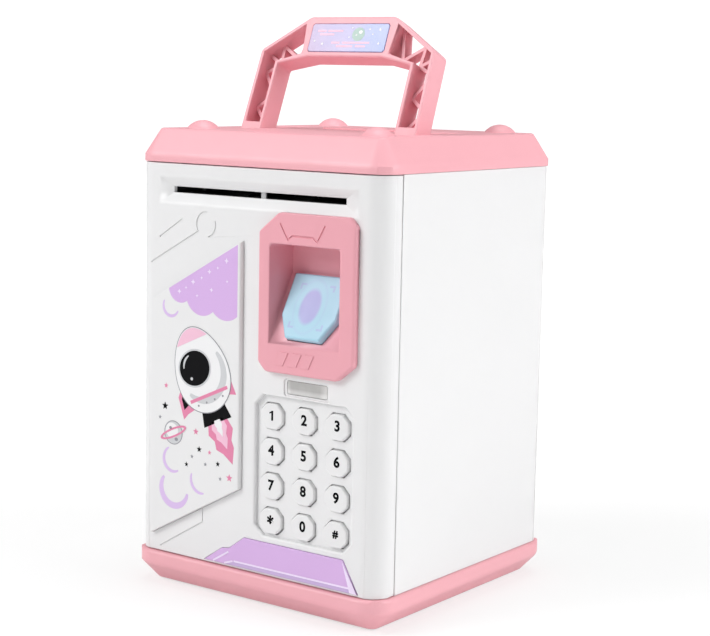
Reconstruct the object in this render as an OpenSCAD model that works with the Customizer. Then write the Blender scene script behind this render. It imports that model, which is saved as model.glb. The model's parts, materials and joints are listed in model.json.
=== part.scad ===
// Toy safe coin bank. A white cabinet stands on a pink base under a pink lid. The whole front is a
// hinged door that holds the note feeder, the play fingerprint pad, the keypad, the batteries and the
// bolt. Origin: the middle of the footprint, on the surface it stands on. +X right, +Y back, +Z up.

/* [Cabinet] */
// Width of the cabinet walls
body_w = 135; // [133:1:139]
// Depth of the cabinet, door included
body_d = 131; // [127:1:137]
// Top of the pink base rim
base_top = 15.3; // [15:0.1:16]
// Lower edge of the lid
lid_z = 190.3; // [190:0.1:192]
// Top of the lid's flat plateau
lid_top = 204.8; // [204:0.1:206]
// Wall thickness of the mouldings
wall = 2.2; // [2:0.1:2.4]
// Radius of the two front corners
corner_front = 9.5; // [9:0.5:10]
// Radius of the two back corners
corner_back = 8; // [7:0.5:9]

/* [Door] */
// Depth of the door shell along the cabinet's sides
door_wrap = 11.9; // [11:0.1:13]
// Seam between the door and its neighbours
seam = 0.4; // [0.3:0.1:0.5]
// Distance of the hinge axis from the door's outer side and rear edge
hinge_r = 4.2; // [4:0.1:4.4]
// Radius of the steel hinge pins
hinge_pin_r = 1.5; // [1.3:0.1:1.6]

/* [Keypad] */
// Width of a key
key_w = 12; // [11:0.5:12.5]
// Height of a key
key_h = 11; // [10:0.5:11.5]
// Column spacing
key_pitch_x = 17.4; // [17:0.05:17.5]
// Row spacing
key_pitch_z = 15.2; // [15:0.1:15.4]
// How far a key goes in
key_travel = 1.2; // [0.8:0.1:1.3]

/* [Handle] */
// How far the handle leans back at rest, in degrees
handle_lean = 21; // [10:1:30]
// Thickness of the handle, front to back
handle_t = 10.8; // [10:0.1:11]
// Radius of the handle's pivot pins
handle_pin_r = 1.6; // [1.4:0.1:1.8]

/* [Note slot] */
// Width of the note slot
slot_w = 94; // [90:1:96]
// Height of the note slot
slot_h = 2.8; // [2.2:0.1:2.8]
// Height of the note slot's middle
slot_z = 178.45; // [178:0.05:179]
// Sideways place of the note slot's middle
slot_x = -1.4; // [-1.5:0.1:0]

/* [Hidden] */
$fn = 64;
eps = 0.01;

// Colours
pink = [0.96, 0.69, 0.76];
white = [0.94, 0.94, 0.94];
lilac = [0.83, 0.69, 0.88];
pad_blue = [0.69, 0.86, 0.93];
steel = [0.72, 0.73, 0.75];
dark = [0.13, 0.13, 0.14];
board_green = [0.10, 0.38, 0.22];
brass = [0.82, 0.68, 0.36];
clear_grey = [0.66, 0.67, 0.67];

// Sensor frame and its sloped floor
bezel_x = [4.5, 55];
bezel_z = [105, 172.6];
bezel_face = 3;
recess_x = [10.5, 47.3];
recess_z = [117, 159.4];
recess_depth = 13;
slope = 28.7;
slope_t = 3.6;
pad_x = 28.8;
pad_size = [28.8, 29.3];
pad_up = 17.6;
pad_t = 3;
pad_bevel = 0.7;
pad_travel = 1;

// Places along Y. The pad's lower edge and the base rim are the object's front and back ends.
pad_over = bezel_face + pad_t * cos(slope) - (pad_up - pad_size[1] / 2 + pad_bevel) * sin(slope);
rim_over = 1.7;
front_y = pad_over - (body_d + pad_over + rim_over) / 2;
back_y = front_y + body_d;
seam_y = front_y + door_wrap;
side_x = body_w / 2;

// Door
door_z0 = base_top + seam;
door_z1 = lid_z - seam;
hinge_x = hinge_r - side_x;
hinge_y = seam_y - hinge_r;
hinge_fit = 0.05;
hinge_depth_lid = 4.5;
hinge_depth_base = 8;
hinge_depth_door = 11;
skin_y = front_y + wall;

// Base
foot_h = 0.8;
base_inset = 6.3;
band_z = 9.3;
base_floor = 2.6;
screw_x = 54;
base_screw_y = [-44, 53];
lid_screw_y = [-30, 53];
lug_w = 12;

// Cabinet mouth
mouth_x = [-61.1, 58.6];
mouth_z = [20, 187.1];
mouth_y = seam_y + 0.6;
flange_t = 1.7;

// Lid
lid_band = 3.2;
plateau_inset = 6.6;
dome_x = 47.6;
dome_y = [-43.5, 51.7];
dome_r = 7.2;
dome_h = 3.6;
coin_y = 12;
coin_slot = [29, 3.2];

// Handle, drawn upright in its own frame: x across, z up from the pivot axis
pivot_z = 198;
pivot_y = -13.7;
leg_x = [36.8, 48.3];
knee = [47.6, 43.3];
knee_in = [36.5, 36.6];
bar_top = [23.4, 59];
bar_low = [20.4, 40];
pocket_gap = 0.4;
handle_back = 72;
handle_web = 5.6;

recess_back = front_y + recess_depth;
slope_top = recess_z[0] + (recess_depth + bezel_face) / tan(slope);

// Keypad
well_c = [27.3, 63.75];
well_size = [51.6, 61.5];
well_depth = 2;
key_cut = 3.1;
key_x0 = 9.85;
key_z0 = 39.75;
key_top = 0.5;
key_flange_y = front_y + well_depth + wall + 0.1;
key_flange_t = 0.9;
board_y = front_y + 9.85;
dome_t = 1.1;
key_stem_y = board_y - dome_t - key_travel - 0.35;
board_t = 1.6;
main_y = board_y + 5.2;

// Door module behind the front
box_x = [-58, 57];
box_z = [21, 186.6];
box_y = -40;
box_wall = 1.8;
long_boss = [[-51, 92], [-51, 146], [-3.5, 120], [-3.5, 30]];
rim_screw = [[61, 40], [61, 150]];
speaker_c = [-30, 116];
speaker_r = 18;

// Batteries
cell_x = [-47.15, -32.25, -17.35];
cell_r = 7.2;
cell_l = 49.2;
nub_l = 1.3;
cell_y = front_y + 14.5;
tray_x = [-56, -8.5];
tray_z = [23, 82];
tray_t = 1.2;
contact_t = 0.5;
spring_l = 5.1;
hatch_x = [-54, -10.5];
hatch_z = [25, 81];
hatch_screw = [-32.25, 84.6];
hook_x = [-46, -18.5];

// Note feeder
feed_y = -51;
drive_r = 5;
idler_r = 2.8;
nip = 0.15;
drive_z = slot_z - drive_r - nip;
idler_z = slot_z + idler_r + nip;
tyre_x = 17;
tyre_w = 10;
drive_shaft_r = 1.5;
idler_shaft_r = 1;
shaft_fit = 0.05;
guide_x = 49;
guide_t = 1.6;
gear_m = 0.5;
gear_teeth = 28;
pinion_teeth = 12;
gear_w = 3;
gear_gap = 10;
gear_x = -54.4;
lever_y = front_y + 7;
lever_z = slot_z + 3.9;
lever_pin_r = 0.8;
motor_z = drive_z - gear_gap;
motor_l = 22;

// Bolt
bolt_z = 102;
bolt_h = 8;
bolt_y = [mouth_y + flange_t + 1.55, mouth_y + flange_t + 6.95];
bolt_x = [50.6, 57.3];
plunger_r = 2;
coil_x = [24, 49.8];
strike_t = 1.2;

// ---------- shared shapes ----------

// The cabinet's footprint, moved inwards by inset
module outline(inset = 0) {
    rf = max(corner_front - inset, 1.5);
    rb = max(corner_back - inset, 1.5);
    x = side_x - inset;
    y0 = front_y + inset;
    y1 = back_y - inset;
    polygon([[rf - x, y0], [x - rf, y0], [x, y0 + rf], [x, y1 - rb], [x - rb, y1], [rb - x, y1],
        [-x, y1 - rb], [-x, y0 + rf]]);
    for (s = [-1, 1]) {
        translate([s * (x - rf), y0 + rf]) circle(rf);
        translate([s * (x - rb), y1 - rb]) circle(rb);
    }
}

module slab(z0, z1, inset = 0) {
    translate([0, 0, z0]) linear_extrude(z1 - z0) outline(inset);
}

// A front view (x, z) given the thickness t, starting depth behind the door's front face
module on_front(depth, t) {
    translate([0, front_y + depth + t, 0]) rotate([90, 0, 0]) linear_extrude(t) children();
}

// The same, between two places along Y
module between_y(y0, y1) {
    on_front(y0 - front_y, y1 - y0) children();
}

// A side view (y, z) extruded from x0 to x1
module along_x(x0, x1) {
    translate([x0, 0, 0]) rotate([90, 0, 90]) linear_extrude(x1 - x0) children();
}

// A box between two corners
module block(low, high) {
    translate(low) cube(high - low);
}

// A rectangle about its middle with its four corners cut
module cut_rect(w, h, c) {
    x = w / 2;
    y = h / 2;
    polygon([[c - x, -y], [x - c, -y], [x, c - y], [x, y - c], [x - c, y], [c - x, y], [-x, y - c],
        [-x, c - y]]);
}

module round_rect(w, h, r) {
    square([w - 2 * r, h], center = true);
    square([w, h - 2 * r], center = true);
    for (i = [-1, 1], j = [-1, 1]) translate([i * (w / 2 - r), j * (h / 2 - r)]) circle(r);
}

// A straight bar of width w between two points of a flat drawing, longer at each end by more
module bar(p, q, w, more = 0) {
    d = q - p;
    translate(p) rotate(atan2(d[1], d[0])) translate([-more, -w / 2]) square([norm(d) + 2 * more, w]);
}

// A pan-head screw pointing up +Z, its head below z = 0, with a cross recess
module screw(r, l, head_r, head_h) {
    translate([0, 0, -eps]) cylinder(r = r, h = l + eps);
    difference() {
        translate([0, 0, -head_h]) cylinder(r = head_r, h = head_h);
        for (a = [0, 90]) rotate(a) translate([-head_r * 0.6, -head_r * 0.14, -head_h - 1])
            cube([head_r * 1.2, head_r * 0.28, 1 + head_h * 0.5]);
    }
}

// The same screw pointing forwards, towards the door's front
module screw_forward(x, y, z, r, l, head_r, head_h) {
    translate([x, y, z]) rotate([90, 0, 0]) screw(r, l, head_r, head_h);
}

// Children at the four screw places on one pair of rows
module at_screws(rows) {
    for (s = [-1, 1], y = rows) translate([s * screw_x, y, 0]) children();
}

// ---------- cabinet ----------

module base_outer() {
    hull() {
        slab(band_z, base_top, -rim_over);
        slab(foot_h, foot_h + 0.8, base_inset);
    }
}

module base_hollow() {
    hull() {
        slab(band_z, base_top - base_floor, 0.8);
        slab(foot_h - 1, foot_h, base_inset + 2.4);
    }
}

pad_r = 4.8;
pad_depth = 1.4;
head_r = 2.7;
head_h = 1.6;

module base_tray() {
    color(pink) difference() {
        union() {
            difference() {
                base_outer();
                base_hollow();
            }
            at_screws(base_screw_y) translate([0, 0, foot_h])
                cylinder(r = pad_r + 1.3, h = base_top - foot_h - 1);
            intersection() {
                translate([hinge_x, hinge_y, band_z - 3]) cylinder(r = 3.6, h = base_top - band_z + 2);
                slab(band_z - 4, base_top, 2.6);
            }
            for (s = [-1, 1])
                block([s * 64.1 - 0.9, -32, base_top - 1], [s * 64.1 + 0.9, 42, base_top + 3]);
            block([-42, back_y - wall - 2.1, base_top - 1], [42, back_y - wall - 0.3, base_top + 3]);
        }
        at_screws(base_screw_y) {
            translate([0, 0, foot_h - 1]) cylinder(r = pad_r, h = 1 + pad_depth);
            translate([0, 0, foot_h]) cylinder(r = head_r + 0.3, h = pad_depth + head_h + 0.3);
            cylinder(r = 1.7, h = base_top + 1);
        }
        translate([hinge_x, hinge_y, base_top - hinge_depth_base])
            cylinder(r = hinge_pin_r, h = hinge_depth_base + 1);
    }
}

module foot_pads() {
    color(dark) at_screws(base_screw_y) cylinder(r = pad_r, h = foot_h + pad_depth - 0.1);
}

module base_screws() {
    color(steel) at_screws(base_screw_y)
        translate([0, 0, foot_h + pad_depth + head_h + 0.3]) screw(1.45, 15, head_r, head_h);
}

// Lug from the corner of the cabinet to a screw place
module lug(s, y, z0, z1) {
    block([min(s * (screw_x - 5), s * (side_x - 1)), y - lug_w / 2, z0],
        [max(s * (screw_x - 5), s * (side_x - 1)), y + lug_w / 2, z1]);
}

module body_shell() {
    z0 = base_top + 0.1;
    z1 = lid_z - 0.1;
    color(white) difference() {
        union() {
            intersection() {
                difference() {
                    slab(z0, z1);
                    slab(z0 - 1, z1 + 1, wall);
                }
                block([-side_x - 1, seam_y + seam, z0 - 1], [side_x + 1, back_y + 1, z1 + 1]);
            }
            // frame round the mouth
            difference() {
                block([-side_x + 1, mouth_y, z0], [side_x - 1, mouth_y + flange_t, z1]);
                block([mouth_x[0], mouth_y - 1, mouth_z[0]],
                    [mouth_x[1], mouth_y + flange_t + 1, mouth_z[1]]);
            }
            for (s = [-1, 1]) {
                for (y = base_screw_y) lug(s, y, z0, 20);
                for (y = lid_screw_y) lug(s, y, 183.6, 187);
            }
        }
        // room for the door's rounded hinge edge
        block([-side_x - 1, seam_y - 1, z0 - 1], [hinge_x + 1, mouth_y, z1 + 1]);
        at_screws(base_screw_y) cylinder(r = 1.5, h = 30);
        at_screws(lid_screw_y) translate([0, 0, 180]) cylinder(r = 1.7, h = 10);
        for (z = [-7.5, 7.5]) translate([61.8, 0, bolt_z + z]) rotate([90, 0, 0])
            cylinder(r = 0.85, h = 60);
    }
}

module strike_plate() {
    y = mouth_y + flange_t;
    color(steel) difference() {
        block([mouth_x[1] + 0.2, y, bolt_z - 10.5], [64.8, y + strike_t, bolt_z + 10.5]);
        for (z = [-7.5, 7.5]) translate([61.8, y + 3, bolt_z + z]) rotate([90, 0, 0])
            cylinder(r = 0.95, h = 6);
    }
}

module strike_screws() {
    y = mouth_y + flange_t + strike_t;
    color(steel) for (z = [-7.5, 7.5]) screw_forward(61.8, y, bolt_z + z, 0.8, 2.7, 1.6, 0.9);
}

module ceiling_panel() {
    z0 = 187.1;
    z1 = 189.2;
    color(white) difference() {
        intersection() {
            slab(z0, z1, wall + 0.3);
            block([-side_x, mouth_y + flange_t + 0.3, z0 - 1], [side_x, back_y, z1 + 1]);
        }
        translate([0, coin_y, z0 - 1]) linear_extrude(4) round_rect(coin_slot[0] + 5.6, 7.4, 1.5);
        at_screws(lid_screw_y) translate([0, 0, z0 - 1]) cylinder(r = 1.8, h = 4);
    }
}

// Side view of the trough that a handle leg swings in, grown by g
module trough(g) {
    r = handle_t / 2 + pocket_gap + g;
    low = pivot_z - r;
    back = pivot_y + r * cos(handle_back);
    run = (lid_top + 1 - low) * tan(handle_back);
    polygon([[pivot_y - r, lid_top + 1], [pivot_y - r, low], [back, low], [back + run, lid_top + 1]]);
}

module lid() {
    color(pink) difference() {
        union() {
            difference() {
                hull() {
                    slab(lid_z, lid_z + lid_band, -0.6);
                    slab(lid_top - 0.2, lid_top, plateau_inset);
                }
                hull() {
                    slab(lid_z - 1, lid_z + 2.2, wall);
                    slab(lid_top - 3.5, lid_top - 3.3, plateau_inset + 1);
                }
                slab(lid_top - 4.6, lid_top - 2.4, plateau_inset + 2.8);
            }
            intersection() {
                for (s = [-1, 1]) scale([s, 1, 1]) {
                    along_x(leg_x[0] - 2.2, leg_x[1] + 2.2) trough(1.6);
                }
                slab(lid_z, lid_top, plateau_inset);
            }
            for (x = [-dome_x, dome_x], y = dome_y) dome(x, y);
            at_screws(lid_screw_y) translate([0, 0, 189.3]) cylinder(r = 3.6, h = 14);
            intersection() {
                translate([hinge_x, hinge_y, lid_z]) cylinder(r = 4, h = 6);
                slab(lid_z, lid_z + 5.5, 3);
            }
        }
        for (s = [-1, 1]) scale([s, 1, 1]) {
            along_x(leg_x[0] - pocket_gap, leg_x[1] + pocket_gap) trough(0);
        }
        translate([0, coin_y, lid_z]) linear_extrude(20) round_rect(coin_slot[0] + 5.4, 7.2, 1.4);
        at_screws(lid_screw_y) translate([0, 0, 188]) cylinder(r = 1.5, h = 9);
        translate([hinge_x, hinge_y, lid_z - 1]) cylinder(r = hinge_pin_r, h = hinge_depth_lid + 1);
        translate([0, pivot_y, pivot_z]) for (s = [-1, 1]) translate([s * 33, 0, 0])
            rotate([0, s * 90, 0]) cylinder(r = handle_pin_r, h = 18);
    }
}

// Low round dome on the plateau
module dome(x, y) {
    r = (dome_r * dome_r + dome_h * dome_h) / (2 * dome_h);
    translate([x, y, lid_top]) intersection() {
        translate([0, 0, dome_h - r]) sphere(r);
        translate([0, 0, -0.5]) cylinder(r = dome_r + 1, h = dome_h + 1);
    }
}

module lid_screws() {
    color(steel) at_screws(lid_screw_y) translate([0, 0, 183.6]) screw(1.45, 12, head_r, head_h);
}

module coin_slot_insert() {
    color(pink) translate([0, coin_y, 0]) difference() {
        union() {
            translate([0, 0, lid_top]) linear_extrude(0.8) round_rect(coin_slot[0] + 12, 12, 4);
            translate([0, 0, 183.5]) linear_extrude(lid_top - 183.5 + eps)
                round_rect(coin_slot[0] + 5, 6.8, 1.2);
        }
        translate([0, 0, 180]) linear_extrude(30) round_rect(coin_slot[0], coin_slot[1], 1.5);
    }
}

module hinge_pins() {
    color(steel) translate([hinge_x, hinge_y, 0]) {
        translate([0, 0, base_top - hinge_depth_base])
            cylinder(r = hinge_pin_r, h = hinge_depth_base + hinge_depth_door);
        translate([0, 0, lid_z - hinge_depth_door])
            cylinder(r = hinge_pin_r, h = hinge_depth_door + hinge_depth_lid);
    }
}

module handle_pins() {
    color(steel) translate([0, pivot_y, pivot_z]) for (s = [-1, 1])
        translate([s * 33.4, 0, 0]) rotate([0, s * 90, 0]) cylinder(r = handle_pin_r, h = 17.4);
}

// ---------- handle ----------

// Places its children from the upright handle frame to the leaning rest position
module lean() {
    translate([0, pivot_y, pivot_z]) rotate([-handle_lean, 0, 0]) children();
}

module mirrored() {
    children();
    mirror([1, 0, 0]) children();
}

// The handle's front outline
module handle_outline() {
    foot = -handle_t / 2;
    right = [bar_top, knee, [leg_x[1], 7], [leg_x[1], foot], [leg_x[0], foot], [leg_x[0], 7], knee_in,
        bar_low];
    last = len(right) - 1;
    polygon([for (i = [0:2 * last + 1]) i <= last ? right[i] : [-right[2 * last + 1 - i][0],
        right[2 * last + 1 - i][1]]]);
}

// The handle's side view: straight, with a round end about the pivot
module handle_side() {
    circle(handle_t / 2);
    translate([-handle_t / 2, 0]) square([handle_t, bar_top[1] + 1]);
}

// The deep field in the front of one arm, and the zigzag of ribs that crosses its floor
arm_low = [[leg_x[0] + 1.7, 8.5], [leg_x[1] - 1.7, 8.5]];
arm_mid = [knee_in + [1.8, 1.2], knee - [1.7, 1]];
arm_top = [bar_low + [3.4, 1.8], bar_top + [2, -3.4]];

module arm_field() {
    polygon([arm_low[0], arm_low[1], arm_mid[1], arm_top[1], arm_top[0], arm_mid[0]]);
}

module zigzag(from, to, count) {
    for (i = [0:count - 1]) {
        near = i % 2;
        far = 1 - near;
        start = from[near] + (to[near] - from[near]) * i / count;
        end = from[far] + (to[far] - from[far]) * (i + 1) / count;
        bar(start, end, 1.5, 1);
    }
}

label_w = 42.2;
label_h = 13.3;
label_z = 49;
label_cut = 0.9;

module handle_grip() {
    color(pink) lean() difference() {
        intersection() {
            rotate([90, 0, 0]) translate([0, 0, -handle_t]) linear_extrude(2 * handle_t) handle_outline();
            along_x(-body_w / 2, body_w / 2) handle_side();
        }
        translate([0, handle_t / 2 - handle_web, 0]) rotate([90, 0, 0]) linear_extrude(handle_t)
            mirrored() arm_field();
        rotate([90, 0, 0]) linear_extrude(2 * handle_t, center = true) mirrored() difference() {
            arm_field();
            bar(arm_mid[0], arm_mid[1], 1.5, 1);
            zigzag(arm_low, arm_mid, 4);
            zigzag(arm_mid, arm_top, 3);
        }
        translate([0, -handle_t / 2 + 0.8, label_z]) rotate([90, 0, 0]) linear_extrude(2)
            cut_rect(label_w + 0.3, label_h + 0.3, label_cut);
        for (s = [-1, 1]) translate([s * 33, 0, 0]) rotate([0, s * 90, 0])
            cylinder(r = handle_pin_r + hinge_fit, h = 18);
    }
}

module handle_label() {
    color(lilac) lean() translate([0, 0.8 - handle_t / 2, label_z]) rotate([90, 0, 0])
        linear_extrude(1) cut_rect(label_w, label_h, label_cut);
}

// ---------- door ----------

module door_plan(inset) {
    difference() {
        outline(inset);
        translate([-body_w, seam_y]) square([2 * body_w, 2 * body_d]);
        translate([-body_w, hinge_y]) square([body_w + hinge_x, body_d]);
    }
}

// Square-based funnel from the door's face to the note slot
module slot_funnel() {
    deep = 3.2;
    mouth = [54.5, 172.5, 184];
    y0 = front_y - 1;
    y1 = front_y + deep;
    grow = 1 + 1 / deep;
    lo = slot_z - slot_h / 2;
    hi = slot_z + slot_h / 2;
    left = slot_x - slot_w / 2;
    right = slot_x + slot_w / 2;
    intersection() {
        along_x(-side_x, side_x) polygon([[y0, lo + (mouth[1] - lo) * grow],
            [y0, hi + (mouth[2] - hi) * grow], [y1, hi], [y1, lo]]);
        translate([0, 0, 160]) linear_extrude(40) polygon([[left - (mouth[0] + left) * grow, y0],
            [right + (mouth[0] - right) * grow, y0], [right, y1], [left, y1]]);
    }
}

led_c = [28.9, 99.1];
led_size = [21.2, 5.6];
led_sunk = 0.6;
groove_w = 0.6;
groove_lines = [[[-54, 157.5], [-41, 166]], [[-59, 146], [-31.5, 161.4]], [[-28, 39], [-28, 33]],
    [[-28, 33], [-53, 18]]];
groove_ring = [-27.1, 164.5];
groove_r = 5.4;
groove_arcs = [[85, 215], [-75, 20]];
panel_points = [[-5.6, 159.1], [-5.6, 51.5], [-28, 39.5], [-57.5, 23.4], [-57.5, 129.8]];
trim_points = [[57.6, 16.6], [49.6, 30.3], [-4, 30.3], [-12.5, 24.2], [-16.5, 23.6], [-27, 16.6]];

module key_places() {
    for (row = [0:3], col = [0:2])
        translate([key_x0 + col * key_pitch_x, key_z0 + row * key_pitch_z]) children();
}

board_posts = [[6, 30.2], [48, 30.2], [6, 97.6], [48, 97.6]];

module door_shell() {
    color(white) difference() {
        union() {
            difference() {
                translate([0, 0, door_z0]) linear_extrude(door_z1 - door_z0) door_plan(0);
                translate([0, 0, door_z0 + wall]) linear_extrude(door_z1 - door_z0 - 2 * wall) {
                    door_plan(wall);
                    translate([hinge_x, hinge_y + eps]) square([side_x - wall - hinge_x, hinge_r]);
                }
            }
            translate([hinge_x, hinge_y, door_z0]) cylinder(r = hinge_r, h = door_z1 - door_z0);
            // thick wall round the note slot and the keypad well
            block([-57, front_y + 1, 171], [57, front_y + 5, 186]);
            on_front(1, well_depth + wall - 1) translate(well_c)
                cut_rect(well_size[0] + 2 * wall, well_size[1] + 2 * wall, 5.4);
            for (p = long_boss) between_y(skin_y - 1, box_y - box_wall - 0.2) translate(p) circle(3);
            intersection() {
                for (p = rim_screw) between_y(skin_y - 1, seam_y - 2.4) translate(p) circle(3);
                translate([0, 0, door_z0]) linear_extrude(door_z1 - door_z0) door_plan(1);
            }
            for (p = board_posts) {
                between_y(skin_y - 1, board_y) translate(p) circle(2.8);
                if (p[1] < 60) between_y(board_y - 1, main_y) translate(p) circle(1.9);
            }
        }
        slot_funnel();
        block([slot_x - slot_w / 2, front_y + 3, slot_z - slot_h / 2],
            [slot_x + slot_w / 2, front_y + 6, slot_z + slot_h / 2]);
        on_front(-1, 9) translate([29, 137.6]) square([42, 49.4], center = true);
        translate([led_c[0], 0, led_c[1]]) {
            on_front(-1, 1 + led_sunk) cut_rect(24, 7.6, 1);
            on_front(-1, 2 + led_sunk) cut_rect(led_size[0] + 0.4, led_size[1] + 0.4, 0.7);
            on_front(-1, 9) square([19.6, 4], center = true);
        }
        on_front(-1, well_depth + 1) translate(well_c) cut_rect(well_size[0], well_size[1], 4.5);
        on_front(-1, 9) key_places() cut_rect(key_w + 0.6, key_h + 0.6, key_cut);
        on_front(-1, 1.6) polygon(panel_points);
        on_front(-1, 1.6) polygon(trim_points);
        on_front(-1, 1.5) {
            for (line = groove_lines) bar(line[0], line[1], groove_w);
            for (ends = groove_arcs, i = [0:11]) {
                a = ends[0] + (ends[1] - ends[0]) * i / 12;
                b = ends[0] + (ends[1] - ends[0]) * (i + 1) / 12;
                bar(groove_ring + groove_r * [cos(a), sin(a)], groove_ring + groove_r * [cos(b), sin(b)],
                    groove_w, 0.05);
            }
        }
        for (z = [door_z0 - 1, door_z1 - hinge_depth_door]) translate([hinge_x, hinge_y, z])
            cylinder(r = hinge_pin_r + hinge_fit, h = hinge_depth_door + 1);
        for (p = long_boss) between_y(front_y + 8, box_y) translate(p) circle(1.3);
        for (p = rim_screw) between_y(front_y + 3, seam_y) translate(p) circle(1.3);
        for (p = board_posts) between_y(front_y + 3.5, main_y + 1) translate(p) circle(0.95);
    }
}

// Rounded rectangle in the front view between two corners
module front_rect(x, z, r) {
    translate([(x[0] + x[1]) / 2, (z[0] + z[1]) / 2]) round_rect(x[1] - x[0], z[1] - z[0], r);
}

module door_back_cover() {
    y0 = seam_y - 2.2;
    y1 = seam_y - 0.2;
    in_y = box_y - box_wall;
    color(white) difference() {
        union() {
            between_y(y0, y1) front_rect([box_x[0], side_x - wall - 0.3],
                [door_z0 + wall + 0.2, door_z1 - wall - 0.2], 1.5);
            between_y(y0, box_y) front_rect(box_x, box_z, 3);
        }
        difference() {
            between_y(y0 - 1, in_y) front_rect([box_x[0] + box_wall, box_x[1] - box_wall],
                [box_z[0] + box_wall, box_z[1] - box_wall], 0.5);
            between_y(in_y - 4, in_y) translate(speaker_c) difference() {
                circle(speaker_r + 1.8);
                circle(speaker_r + 0.3);
            }
            for (s = [-1, 1]) block([coil_x[0] + 2, in_y - 7, bolt_z + s * 5.8 - 0.7],
                [coil_x[1] - 2, in_y, bolt_z + s * 5.8 + 0.7]);
        }
        // note outlet
        between_y(in_y - 1, box_y + 1) translate([0, slot_z - 2.5]) square([slot_w + 2, 8], center = true);
        // battery hatch, with an ear for its screw
        between_y(in_y - 1, box_y + 1) {
            front_rect(hatch_x, hatch_z, 2);
            translate(hatch_screw) circle(4.3);
        }
        // speaker grille
        between_y(in_y - 1, box_y + 1) translate(speaker_c) for (i = [-3:3]) translate([0, i * 4.4])
            square([2 * sqrt(225 - 19.36 * i * i), 1.8], center = true);
        between_y(in_y - 1, box_y + 1) for (p = long_boss) translate(p) circle(1.6);
        between_y(box_y - 1, box_y + 1) for (p = long_boss) translate(p) circle(2.9);
        for (p = rim_screw) {
            between_y(y0 - 1, y1 + 1) translate(p) circle(1.6);
            between_y(y1 - 1.1, y1 + 1) translate(p) circle(2.7);
        }
        block([box_x[1] - 5, bolt_y[0] - 0.3, bolt_z - bolt_h / 2 - 0.3],
            [box_x[1] + 1, bolt_y[1] + 0.3, bolt_z + bolt_h / 2 + 0.3]);
    }
}

module cover_screws() {
    color(steel) {
        for (p = long_boss) screw_forward(p[0], box_y - 1, p[1], 1.25, 9, 2.6, 1);
        for (p = rim_screw) screw_forward(p[0], seam_y - 1.3, p[1], 1.25, 6, 2.4, 1);
    }
}

module artwork_panel() {
    color(white) on_front(-2, 2.6) offset(delta = -0.15) polygon(panel_points);
}

module lower_trim() {
    color(lilac) on_front(-0.6, 1.2) offset(delta = -0.15) polygon(trim_points);
}

// Side view of the finger recess and of the housing round it
recess_view = [[front_y - bezel_face - 1, recess_z[0] - 1 / tan(slope)],
    [front_y - bezel_face - 1, recess_z[1]], [recess_back, recess_z[1]], [recess_back, slope_top]];

module on_slope() {
    translate([pad_x, front_y - bezel_face, recess_z[0]]) rotate([90 - slope, 0, 0])
        translate([0, pad_up, 0]) children();
}

module pad_outline(grow) {
    w = pad_size[0] / 2 + grow;
    h = pad_size[1] / 2 + grow;
    cut_x = 5.5 + 0.36 * grow;
    cut_y = 10 + 0.62 * grow;
    polygon([[cut_x - w, -h], [w - cut_x, -h], [w, cut_y - h], [w, h], [-w, h], [-w, cut_y - h]]);
}

module sensor_bezel() {
    shift_y = slope_t * cos(slope);
    shift_z = slope_t * sin(slope);
    low_z = recess_z[0] - shift_z + (bezel_face - shift_y) / tan(slope);
    x0 = bezel_x[0];
    x1 = bezel_x[1];
    z0 = bezel_z[0];
    z1 = bezel_z[1];
    color(pink) difference() {
        union() {
            on_front(-bezel_face, bezel_face) polygon([[x0 + 4, z0], [46, z0], [x1, z0 + 7],
                [x1, z1 - 3.5], [x1 - 3.5, z1], [x0 + 10.5, z1], [x0, z1 - 8.4], [x0, z0 + 4]]);
            along_x(recess_x[0] - 2, recess_x[1] + 2) polygon([[front_y - eps, recess_z[1] + 2],
                [front_y - eps, low_z], [recess_back + shift_y, slope_top - shift_z],
                [recess_back + shift_y, recess_z[1] + 2]]);
            for (x = [14, 21, 27.5]) on_front(-bezel_face - 0.4, 1) polygon([[x, 108.6], [x + 4.6, 108.6],
                [x + 7.4, 114.4], [x + 2.8, 114.4]]);
            for (s = [-1, 1]) on_slope() translate([s * 7.2, 0, -11]) cylinder(r = 1.4, h = 9);
        }
        along_x(recess_x[0], recess_x[1]) polygon(recess_view);
        on_slope() {
            translate([0, 0, -0.6 - pad_travel]) linear_extrude(4) pad_outline(0.35);
            translate([0, 0, -6]) cylinder(r = 3.3, h = 6);
        }
        on_front(-bezel_face - 1, 1.5) {
            bar([16.2, 168.2], [20.4, 161.4], 0.7);
            bar([20.4, 161.4], [22.4, 163.2], 0.7);
            bar([22.4, 163.2], [33.4, 163.2], 0.7);
            bar([33.4, 163.2], [35.6, 161.4], 0.7);
            bar([35.6, 161.4], [39.6, 168.4], 0.7);
        }
    }
}

module sensor_pad() {
    color(pad_blue) on_slope() {
        hull() {
            translate([0, 0, -0.3]) linear_extrude(pad_t + 0.3 - pad_bevel) pad_outline(0);
            translate([0, 0, pad_t - eps]) linear_extrude(eps) pad_outline(-pad_bevel);
        }
        translate([0, 0, -6.2]) cylinder(r = 3, h = 6);
    }
}

module pad_switch() {
    color(board_green) on_slope() translate([0, 0, -12.6]) {
        translate([-9, -7, 0]) cube([18, 14, 1.6]);
        translate([-3, -3, 1.6 - eps]) cube([6, 6, 2.6]);
        translate([0, 0, 4.1]) cylinder(r = 1.7, h = 0.8);
    }
}

module led_window() {
    color(clear_grey) translate([led_c[0], 0, led_c[1]]) {
        on_front(led_sunk, 1) cut_rect(led_size[0], led_size[1], 0.6);
        on_front(led_sunk + 1 - eps, 1.6) square([19, 3.6], center = true);
    }
}

module status_leds() {
    color([0.85, 0.25, 0.2]) for (x = [24, 33]) between_y(front_y + 4.4, board_y)
        translate([x, led_c[1]]) circle(1.5);
}

// ---------- keypad ----------

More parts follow.
